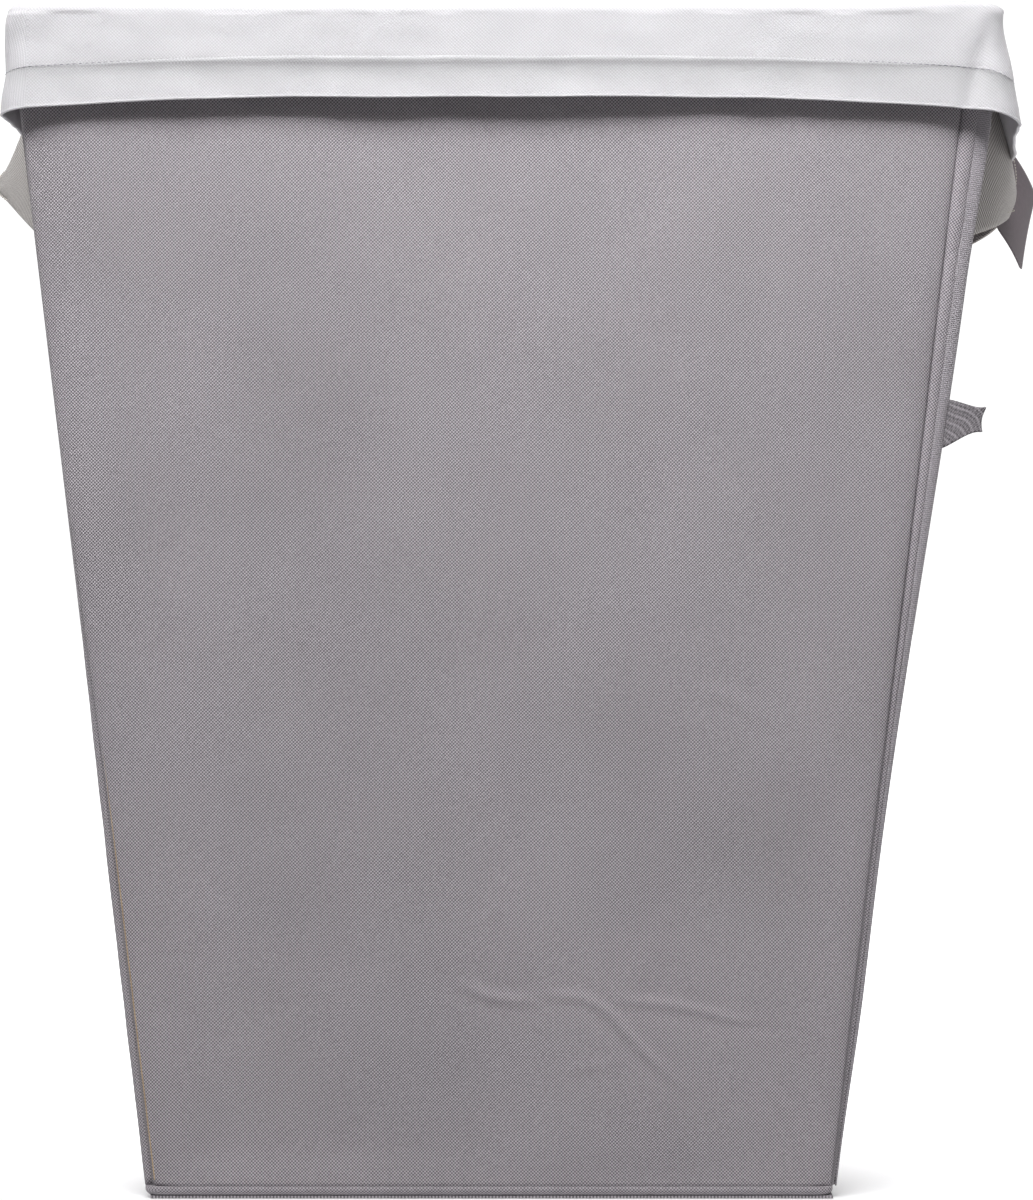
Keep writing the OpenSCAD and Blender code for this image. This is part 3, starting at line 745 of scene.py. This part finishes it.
def cuff_grid():
    """The cuff from inside the rim, over its rolled top, down the outside and back up inside its hem."""
    rows = [("in", k) for k in np.linspace(-46 * MM, -7 * MM, 8)]
    rows += [("roll", k) for k in np.linspace(0, 1, 15)]
    rows += [("skirt", k) for k in np.linspace(0.02, 1, 44)]
    rows += [("edge", k) for k in np.linspace(0.1, 1, 8)]
    rows += [("hem", k) for k in np.linspace(0.05, 1, 12)]
    grid = np.zeros((len(rows), len(px), 3))
    along = cuff_along
    top = CUFF_TOP + 0.35 * MM * ripples(along, 0 * along, 91, 0.08, 0.3) - 0.3 * MM * corner_near
    top = top + 1.4 * MM * smooth((px - 0.2) / 0.05) + 0.5 * MM * smooth((-0.19 - px) / 0.03)
    for i, (part, k) in enumerate(rows):
        inner_share = 0.0           # 1 on the inside of the roll, 0 outside
        if part == "in":
            out, z, inner_share = 0 * px, top + k, 1.0
        elif part == "roll":
            angle = math.pi * (1 - k)
            out, inner_share = 0 * px, (1 - math.cos(angle)) / 2
            z = top - ROLL_H + ROLL_H * math.sin(angle)
        elif part == "skirt":
            z_start = top - ROLL_H
            z = z_start + (edge_z - z_start) * k
            out = flare_out * k ** 1.15
            hem_line = 1 - HEM / (z_start - edge_z)
            out = out - 0.15 * MM * np.exp(-(((k - hem_line) / 0.03) ** 2))
            out = out + 0.10 * MM * smooth((k - hem_line) / 0.25)
        elif part == "edge":
            angle = math.pi * k
            z = edge_z - EDGE_R * math.sin(angle)
            out = flare_out + 0.5 * MM - EDGE_R + EDGE_R * math.cos(angle)
        else:
            z = edge_z + k * HEM
            out = flare_out + 0.5 * MM - 2 * EDGE_R - flare_out * 0.35 * k
        depth = top - z
        if part in ("skirt", "edge", "hem"):
            loose = smooth(depth / 0.05)
            waves = 1.5 * MM * ripples(along, depth * 0.35, 101, 0.07, 0.2) * loose
            waves = waves + 0.35 * MM * ripples(along, depth * 1.2, 107, 0.018, 0.05) * smooth(depth / 0.02)
            pull = 1.5 * MM * np.sin((along + depth * 0.9) / 0.0065) * corner_near ** 1.5
            pull = pull * np.exp(-((depth / 0.03) ** 2))
            fold_line = px - 0.2515 + 0.3 * (0.59 - z)
            fold = 1.3 * MM * np.exp(-((fold_line / 0.005) ** 2)) * frontness * smooth(depth / 0.012)
            out = out + np.maximum(waves, -1.2 * MM) + pull - fold
        if part == "roll":
            out = out + 0.5 * MM * ripples(along, k * 0.02, 113, 0.02, 0.07)
        grid[i, :, :2] = cuff_plan + (cuff_inner - cuff_plan) * inner_share + cuff_out * out[:, None]
        grid[i, :, 2] = z
    return grid, rows


cuff_points, cuff_rows = cuff_grid()
cuff = cloth("liner_cuff_cloth", cuff_points, 0.6 * MM, loop_lengths(cuff_points), WHITE, wrap=True, inward=1)
own(cuff, "liner", "liner_white", "liner_cuff", "liner_hem")

# the hem's row of stitches, in dark grey thread: painted shade for the groove the stitches sink into
hem_rows = [i for i, (part, k) in enumerate(cuff_rows) if part == "skirt"]
depths = cuff_points[hem_rows, :, 2] - edge_z[None, :]
stitch_path, stitch_out = [], []
for c in range(len(px)):
    r = hem_rows[int(np.argmin(np.abs(depths[:, c] - HEM)))]
    a0, a1 = cuff_points[r - 1, c], cuff_points[r, c]
    want = edge_z[c] + HEM
    t = 0 if abs(a1[2] - a0[2]) < 1e-9 else np.clip((want - a0[2]) / (a1[2] - a0[2]), -1.5, 1.5)
    stitch_path.append(a0 + (a1 - a0) * t)
    stitch_out.append([cuff_out[c, 0], cuff_out[c, 1], 0.0])
stitch_path.append(stitch_path[0])
stitch_out.append(stitch_out[0])
hem_thread = stitches("cuff_hem_stitches", stitch_path, stitch_out, HEM_THREAD_SHADE_DARK, 3.2 * MM, 2.4 * MM, 0.18 * MM)
own(hem_thread, "liner", "liner_white")

# the bag inside the body
BAG_TOP = CUFF_TOP - 30 * MM
FLOOR_ROWS = 12


def bag_half_x(z):
    """Half width of the CAD's bag at a height."""
    return BAG_HI.x - (BAG_HI.z - z) * LEAN


levels = BAG_LO.z + (BAG_TOP - BAG_LO.z) * np.linspace(0, 1, 110) ** 1.15
bag_rows = []
for i in range(FLOOR_ROWS):
    share = i / FLOOR_ROWS
    size = max(share, 0.01)
    plan = rounded_outline(bag_half_x(BAG_LO.z) * size, (BAG_HI.y - 0.5 * MM) * size, 0.02 * size, 12, 84)
    rise = 1.2 * MM * (ripples(plan[:, 0], plan[:, 1], 131, 0.06, 0.2) + 0.6) * (1 - share ** 4)
    bag_rows.append(np.stack([plan[:, 0], plan[:, 1], BAG_LO.z + 1.2 * MM + rise], 1))
for z in levels:
    rise = (z - BAG_LO.z) / (BAG_TOP - BAG_LO.z)
    tuck = 6 * MM * (1 - smooth((z - BAG_LO.z) / 0.02))
    wide = smooth((z - BAG_TOP + 0.045) / 0.045)
    bag_x = (bag_half_x(z) - 1.2 * MM - tuck) * (1 - wide) + (CUFF_IN_X - 0.5 * MM) * wide
    bag_y = (BAG_HI.y - 1.2 * MM - tuck) * (1 - wide) + (CUFF_IN_Y - 0.6 * MM) * wide
    plan = rounded_outline(bag_x, bag_y, 0.02 - 0.012 * wide, 12, 84)
    perimeter = path_lengths(plan)
    sag = np.sin(np.pi * rise) ** 0.6
    inward = 5.5 * MM * (ripples(perimeter / perimeter[-1], z * 0.3, 137, 0.09, 0.3) + 1.0) * sag
    inward = inward + 1.0 * MM * (ripples(perimeter / perimeter[-1], z * 1.4, 139, 0.03, 0.09) + 1.0) * sag
    inward = (inward + 0.8 * MM) * (1 - wide)
    plan = plan - outline_normals(plan) * inward[:, None]
    bag_rows.append(np.stack([plan[:, 0], plan[:, 1], np.full(len(plan), z + 1.2 * MM)], 1))
bag_points = np.array(bag_rows)
bag_deep, bag_high = BAG_HI.y - BAG_LO.y, BAG_TOP - BAG_LO.z
bag_low_w, bag_top_w = 2 * bag_half_x(BAG_LO.z), 2 * bag_half_x(BAG_TOP)
bag_area = (bag_low_w + bag_top_w) * bag_high + 2 * bag_deep * bag_high / math.cos(LEAN_ANGLE)
bag_area += bag_low_w * bag_deep
bag = cloth("liner_bag_cloth", bag_points, 0.7 * MM, loop_lengths(bag_points), WHITE, wrap=True, inward=-1)
own(bag, "liner", "liner_white", "liner_bag", "liner_floor")

# ---------------------------------------------------------------- handles

STRAP_T = 1.6 * MM
STRAP_Z = 0.53              # a height near the middle of the webbing
STRAP_OFF = 2.6 * MM        # how far its sewn ends stand off the wall
RISE_MOST = 44 * MM         # the most that its upper edge climbs towards the feet
SWING_Z = 0.5535            # the height of the line that the handles swing about


def handle(side, out, bend, grip, drop, rise, seed):
    """Webbing arched out from the wall and folded narrow at its grip. bend is 1 for a sharp elbow and 2 for an
    even bow, grip is the heights of its two edges at the middle, and drop and rise are how its lower and upper
    edge move away from there towards the feet, each as a height and a power."""
    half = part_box("right_handle")[1].y
    y = np.linspace(-half, half, 130)
    share = np.abs(y) / half
    arch = (1 - share ** bend) ** 0.9
    gather = smooth((1 - share) / 0.92) ** 0.8
    low = grip[0] - drop[0] * share ** drop[1]
    top = grip[1] + np.minimum(rise[0] * share ** rise[1], RISE_MOST)
    bow = STRAP_OFF + (out - STRAP_OFF) * arch
    top = np.minimum(top, SWING_Z + 1.1 * bow)
    v = np.linspace(0, 1, 26)
    grid = np.zeros((len(v), len(y), 3))
    for i, vi in enumerate(v):
        z = low + (top - low) * vi
        roll = math.sin(math.pi * vi)
        x1 = bow + 3.0 * MM * roll * gather
        x1 = x1 + 0.8 * MM * ripples(y, 0 * y + vi * 0.02, seed, 0.04, 0.12) * smooth((1 - share) / 0.1)
        lean = (z - STRAP_Z) * LEAN
        grid[i, :, 0] = side * (half_w(STRAP_Z) + lean * (1 - arch * 0.6) + x1)
        grid[i, :, 1] = y
        grid[i, :, 2] = z
    uv = arc_lengths(grid)
    uv[..., 1] = v[:, None] * 50 * MM
    word = "right" if side > 0 else "left"
    body = f"{word}_handle"
    strap = own(cloth(f"{body}_webbing", grid, STRAP_T, uv, BEIGE, inward=side), body, "webbing_beige", body)
    # the doubled grip: the strap's lower half folded up outside and sewn
    mid = np.abs(y) < half * 0.42
    cover = grid[2:-2][:, mid].copy()
    cover[..., 0] += side * 1.0 * MM
    pad = cloth(f"{body}_grip", cover, STRAP_T, uv[2:-2][:, mid], BEIGE, inward=-side)
    pieces = [strap, own(pad, body, "webbing_beige")]
    grip_line, selvedge_line = (2.7 * MM,), (0.7 * MM, 2.6 * MM, 1.4 * MM, 0.45 * MM)
    for what, path, (off, *look) in (("grip_stitches_low", grid[3, mid], grip_line),
                                     ("grip_stitches_high", grid[-4, mid], grip_line),
                                     ("selvedge_low", grid[0], selvedge_line),
                                     ("selvedge_high", grid[-1], selvedge_line)):
        path = path + np.array([side * off, 0, 0])
        normal = np.tile([float(side), 0.0, 0.0], (len(path), 1))
        row = stitches(f"{word}_{what}", path, normal, THREAD_BEIGE, *look)
        pieces.append(own(row, body, "webbing_beige"))
    return pieces


right_handle = handle(1, 48 * MM, 2.1, (0.5225, 0.5365), (0.0245, 1.2), (0.066, 1.3), 151)
left_handle = handle(-1, 36 * MM, 1.25, (0.5348, 0.5405), (0.0375, 1.35), (0.033, 2.4), 157)

# ---------------------------------------------------------------- hang tag and its pin

tag_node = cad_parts["hang_tag"]
corners = np.array([tuple(v.co) for v in tag_node.data.vertices])
mid = corners.mean(0)
_, _, axes = np.linalg.svd(corners - mid)
tag_up, tag_wide, tag_out = axes
if tag_up[2] < 0:
    tag_up = -tag_up
if tag_wide[0] < 0:
    tag_wide = -tag_wide
tag_out = np.cross(tag_wide, tag_up)
tag_half_l = np.abs((corners - mid) @ tag_up).max()
tag_half_w = np.abs((corners - mid) @ tag_wide).max()
a = np.linspace(-1, 1, 40)[:, None]
b = np.linspace(-1, 1, 30)[None, :]
round_off = 1 - 0.07 * np.abs(a) ** 24 * np.abs(b) ** 10
bow = 1.4 * MM * (1 - b ** 2) + 0.9 * MM * a ** 2
tag_grid = (mid + (tag_half_l * a * round_off)[..., None] * tag_up
            + (tag_half_w * b * round_off)[..., None] * tag_wide + bow[..., None] * tag_out)
tag_uv = spread(b * tag_half_w, a * tag_half_l)
tag = cloth("hang_tag_card", tag_grid, 0.5 * MM, tag_uv, CARD)
own(tag, "tag", "card", "hang_tag")
dress("tag_fastener", PLASTIC)

# ---------------------------------------------------------------- loop in the front right seam

LOOP_X, LOOP_Z = 0.2290, 0.397      # where the loop leaves the seam
LOOP_REACH = 22.5 * MM


def loop_side(t, way):
    """A point of one of the loop's two layers, by its share of the way out."""
    return t * LOOP_REACH, way * (1.5 * MM + 1.5 * MM * math.sin(math.pi * t * 0.9))


turns = [loop_side(t, -1) for t in np.linspace(0, 1, 20)]
turns += [(LOOP_REACH + 1.7 * MM * math.sin(math.pi * k), -1.7 * MM * math.cos(math.pi * k))
          for k in np.linspace(0.1, 0.9, 9)]
turns += [loop_side(t, 1) for t in np.linspace(1, 0, 20)]
turns = np.array(turns)
far = turns[:, 0] / LOOP_REACH
low, high = 0.3835 + 0.0095 * smooth(far), 0.4100 - 0.0045 * smooth(far)
v = np.linspace(0, 1, 18)
grid = np.zeros((len(v), len(turns), 3))
for i, vi in enumerate(v):
    z = low + (high - low) * vi
    grid[i, :, 0] = LOOP_X + turns[:, 0] + (z - LOOP_Z) * LEAN * 1.5 - 1.2 * MM * math.sin(math.pi * vi) * far
    grid[i, :, 1] = FRONT_Y + 7.5 * MM + turns[:, 1] + 1.5 * MM * (vi - 0.5) * far
    grid[i, :, 2] = z
own(cloth("seam_loop_webbing", grid, 1.1 * MM, arc_lengths(grid), DARK_WEB, inward=-1), "front", "webbing_dark",
    "seam_loop")

# ---------------------------------------------------------------- lid, flap and their tapes

LID_CORNER = 14 * MM        # radius of the lid's two free corners
lid_all_lo, lid_all_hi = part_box("lid_binding")


def lid_sheet(name, y_face, out, material, node, seed):
    """A lid cover, softly padded, with a sunk channel inside its binding."""
    x = np.linspace(LID_LO.x, LID_HI.x, 130)[None, :]
    z = np.linspace(LID_LO.z, LID_HI.z, 100)[:, None]
    dz = np.minimum(z - LID_LO.z, LID_HI.z - z)
    r = LID_CORNER
    low = z - LID_LO.z
    inset = np.where(low < r, r - np.sqrt(np.maximum(r * r - (r - low) ** 2, 0)), 0)
    xx = np.sign(x) * np.minimum(np.abs(x), LID_HI.x - inset)
    edge = np.minimum(np.minimum(LID_HI.x - inset - np.abs(xx), dz), 0.05)
    h = 1.6 * MM * smooth(edge / 0.028) + 0.5 * MM * ripples(x, z, seed, 0.1, 0.3) * smooth(edge / 0.05)
    h = h - 0.5 * MM * np.exp(-(((edge - 8 * MM) / (2 * MM)) ** 2))
    y = y_face + out * np.maximum(h, 0.0)
    points = spread(xx, y, z)
    inner = points.copy()
    inner[..., 1] = y_face - out * 0.8 * MM
    uv = spread(x, z)
    return own(shell(name, points, inner, uv, material), "lid", "oxford_grey", node)


lining_lo, lining_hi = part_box("lid_lining")
lid_sheet("lid_outer_cloth", LID_HI.y - 0.3 * MM, -0.35, GREY, "lid_top_cover", 171)
lid_under = lid_sheet("lid_lining_cloth", lining_lo.y + 0.6 * MM, 1, LINING, "lid_lining", 173)

bx, bz0, bz1 = lid_all_hi.x - 1.5 * MM, lid_all_lo.z + 1.5 * MM, lid_all_hi.z - 1.5 * MM
by = (lid_all_lo.y + lid_all_hi.y) / 2
r = LID_CORNER
path = [(-bx, by, z) for z in np.linspace(bz1, bz0 + r, 60)]
path += [(-bx + r - r * math.cos(t), by, bz0 + r - r * math.sin(t)) for t in np.linspace(0.1, math.pi / 2, 12)]
path += [(x, by, bz0) for x in np.linspace(-bx + r + 4 * MM, bx - r - 4 * MM, 90)]
path += [(bx - r + r * math.sin(t), by, bz0 + r - r * math.cos(t)) for t in np.linspace(0, math.pi / 2 - 0.1, 12)]
path += [(bx, by, z) for z in np.linspace(bz0 + r, bz1, 60)]
binding = tube("lid_binding_tape", path, 3.2 * MM, RIBBED)
own(binding, "lid", "tape_grey", "lid_binding")
stitch_in = [(x * (bx - 6 * MM) / bx, lining_hi.y + 0.9 * MM, max(z, bz0 + 6 * MM)) for x, y, z in path]
lid_thread = stitches("lid_binding_stitches", stitch_in, [(0, 1, 0)] * len(stitch_in), THREAD_GREY, 3.4 * MM)
own(lid_thread, "lid", "tape_grey")

pull_lo, pull_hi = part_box("lid_pull_loop")
half = pull_hi.x - 2 * MM
yl = (pull_lo.y + pull_hi.y) / 2
bend_z, sewn_z = pull_lo.z + 8 * MM, pull_hi.z + 4 * MM
path = [(-half, yl, z) for z in np.linspace(sewn_z, bend_z, 12)]
path += [(-half * math.cos(t), yl, bend_z - 6 * MM * math.sin(t)) for t in np.linspace(0.1, math.pi - 0.1, 20)]
path += [(half, yl, z) for z in np.linspace(bend_z, sewn_z, 12)]
pull_loop = tube("lid_pull_webbing", path, 2.2 * MM, DARK_WEB, 14, 0.45)
own(pull_loop, "lid", "webbing_dark", "lid_pull_loop")

# the flap that carries the lid
flap_x = np.linspace(FLAP_LO.x, FLAP_HI.x, 110)[None, :]
t = np.linspace(0, 1, 70)[:, None]
flap_z = FLAP_LO.z + (FLAP_HI.z + 1.6 * MM - FLAP_LO.z) * t
reach = FLAP_HI.y - BACK_Y - 2.4 * MM
flap_wave = 0.25 * MM * ripples(flap_x, flap_z, 181, 0.06, 0.2) * smooth(t / 0.2) * smooth((1 - t) / 0.1)
flap_y = BACK_Y + 2.4 * MM + reach * smooth(t / 0.52) + flap_wave
flap_pts = spread(flap_x, flap_y - 0.3 * MM, flap_z)
flap_in = flap_pts.copy()
flap_in[..., 1] -= 1.0 * MM
own(shell("lid_flap_cloth", flap_pts, flap_in, spread(flap_x, flap_z), GREY),
    "back_and_floor", "oxford_grey", "lid_flap")
for k, dz in enumerate((3 * MM, 7 * MM)):
    row = [(x, BACK_Y + 3.4 * MM, FLAP_LO.z + dz) for x in np.linspace(FLAP_LO.x + 3 * MM, FLAP_HI.x - 3 * MM, 60)]
    own(stitches(f"flap_stitches_{k}", row, [(0, 1, 0)] * len(row), THREAD_GREY, 3.4 * MM), "back_and_floor",
        "oxford_grey")

# ---------------------------------------------------------------- CAD nodes that stay

for word in ("right", "left"):
    for part in ("rear", "front"):
        dress(f"{word}_{part}_board", BOARD)
        dress(f"{word}_{part}_lining", LINING_YZ)
        dress(f"{word}_{part}_rim_tape", RIBBED_Z)
        dress(f"{word}_{part}_handle_patch", BEIGE_YZ)
    dress(f"{word}_centre_welt", GREY_YZ)
    dress(f"back_piping_{word}", GREY_YZ)
for part in ("front", "back"):
    dress(f"{part}_board", BOARD)
    dress(f"{part}_lining", LINING_XZ)
    dress(f"{part}_rim_tape", webbing(f"rim_tape_{part}", *TAPE_YARN, TAPE_PITCH, "xz", rib=1.4))
dress("lid_board", BOARD)
dress("base_board", BOARD)
dress("base_pad", LINING_XY)
dress("base_pull_strip", DARK_WEB_XY)
dress("base_cover", GREY_XY)
dress("base_hinge_roll", LINING_XY)
dress("lid_hinge_roll", GREY_XY)

# ---------------------------------------------------------------- pieces given meshes of their own

c, s = math.cos(LEAN_ANGLE), math.sin(LEAN_ANGLE)
for side, pieces in ((1, right_handle), (-1, left_handle)):
    for piece in pieces:
        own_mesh(piece)
skins = [(1 if word == "right" else -1, piece) for (word, part), piece in side_covers.items()]
for side, piece in skins + [(1, right_band), (-1, left_band)]:
    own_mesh(piece)
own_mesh(tag)
for piece, keep in ((cuff, 0.08), (hem_thread, 0.08), (bag, 0.03)):
    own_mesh(piece)

# ---------------------------------------------------------------- stage, light and camera

EYE = 0.3065               # the camera's height
ASIDE = 0.0128             # how far it stands to the right of the middle
AWAY = 1.85                # from the camera to the front face
VIEW_HIGH = 0.615          # how much of the front face's plane the picture takes in, top to bottom
FLOOR_REACH = 30.0         # half the floor's length and width
FLOOR_Z = -0.4 * MM        # just under the feet, so that the faces don't coincide


def backdrop():
    """A pale floor that glows, faintly in front and brightly behind the hamper: painted light that washes out the
    hamper's shadow on it.
    """
    g = Graph("pale_floor")
    _, _, place = g.plane("xy")
    tone = g.mix(g.noise(place, 3.0, 2.0), (0.68, 0.68, 0.685), (0.72, 0.72, 0.725))
    g.surface(tone, 0.9)
    split = g.node("ShaderNodeSeparateXYZ")
    g.put(place, split.inputs[0])
    g.shader.inputs["Emission Color"].default_value = (1, 1, 1, 1)
    # painted light: the floor's glow rises from faint in front to full behind the hamper, so the hamper's cast
    # shadow there is lit away
    g.put(g.span(split.outputs[1], -0.20, 0.05, 0.06, 1.05), g.shader.inputs["Emission Strength"])
    steps = np.linspace(-FLOOR_REACH, FLOOR_REACH, 61)
    pts = np.array([[(x, y, FLOOR_Z) for x in (-FLOOR_REACH, FLOOR_REACH)] for y in steps])
    faces = grid_faces(len(steps), 2, False)
    obj = new_object("floor", pts.reshape(-1, 3).tolist(), (faces[..., 0] * 2 + faces[..., 1]).tolist(),
                     np.zeros((len(faces), 4, 2)), g.material)


def studio_sky(front, behind):
    """Soft light from all round, brighter from behind the hamper than from before it."""
    world = bpy.data.worlds.new("studio")
    bpy.context.scene.world = world
    world.use_nodes = True
    tree = world.node_tree
    coords = tree.nodes.new("ShaderNodeTexCoord")
    split = tree.nodes.new("ShaderNodeSeparateXYZ")
    share = tree.nodes.new("ShaderNodeMapRange")
    tree.links.new(coords.outputs["Generated"], split.inputs[0])
    tree.links.new(split.outputs[1], share.inputs["Value"])
    share.inputs["From Min"].default_value = -0.3
    share.inputs["From Max"].default_value = 0.9
    share.inputs["To Min"].default_value = front
    share.inputs["To Max"].default_value = behind
    back = tree.nodes["Background"]
    back.inputs[0].default_value = (1, 1, 1, 1)
    tree.links.new(share.outputs[0], back.inputs[1])


def soft_box(name, place, aim, size, power):
    """A rectangular area light turned to face a point."""
    light = bpy.data.lights.new(name, "AREA")
    light.shape = "RECTANGLE"
    light.size, light.size_y = size
    light.energy = power
    obj = bpy.data.objects.new(name, light)
    bpy.context.scene.collection.objects.link(obj)
    obj.location = place
    direction = Vector(aim) - Vector(place)
    obj.rotation_euler = direction.to_track_quat("-Z", "Y").to_euler()
    return obj


backdrop()
studio_sky(0.07, 1.1)
key = soft_box("key", (-0.12, -0.85, 1.5), (0, -0.17, 0.72), (1.3, 0.5), 12.6)
key.data.spread = math.radians(100)
soft_box("fill", (0.9, -2.2, 1.9), (0, -0.1, 0.4), (1.4, 0.9), 1.5)
bpy.context.scene.view_settings.view_transform = "Standard"

camera = bpy.data.objects.new("camera", bpy.data.cameras.new("camera"))
bpy.context.scene.collection.objects.link(camera)
bpy.context.scene.camera = camera
camera.data.sensor_width = 36
camera.data.lens = 36 * AWAY / VIEW_HIGH
camera.location = (ASIDE, FRONT_Y - AWAY, EYE)
camera.rotation_euler = (math.pi / 2, 0, 0)
camera.data.clip_start, camera.data.clip_end = 0.05, 50
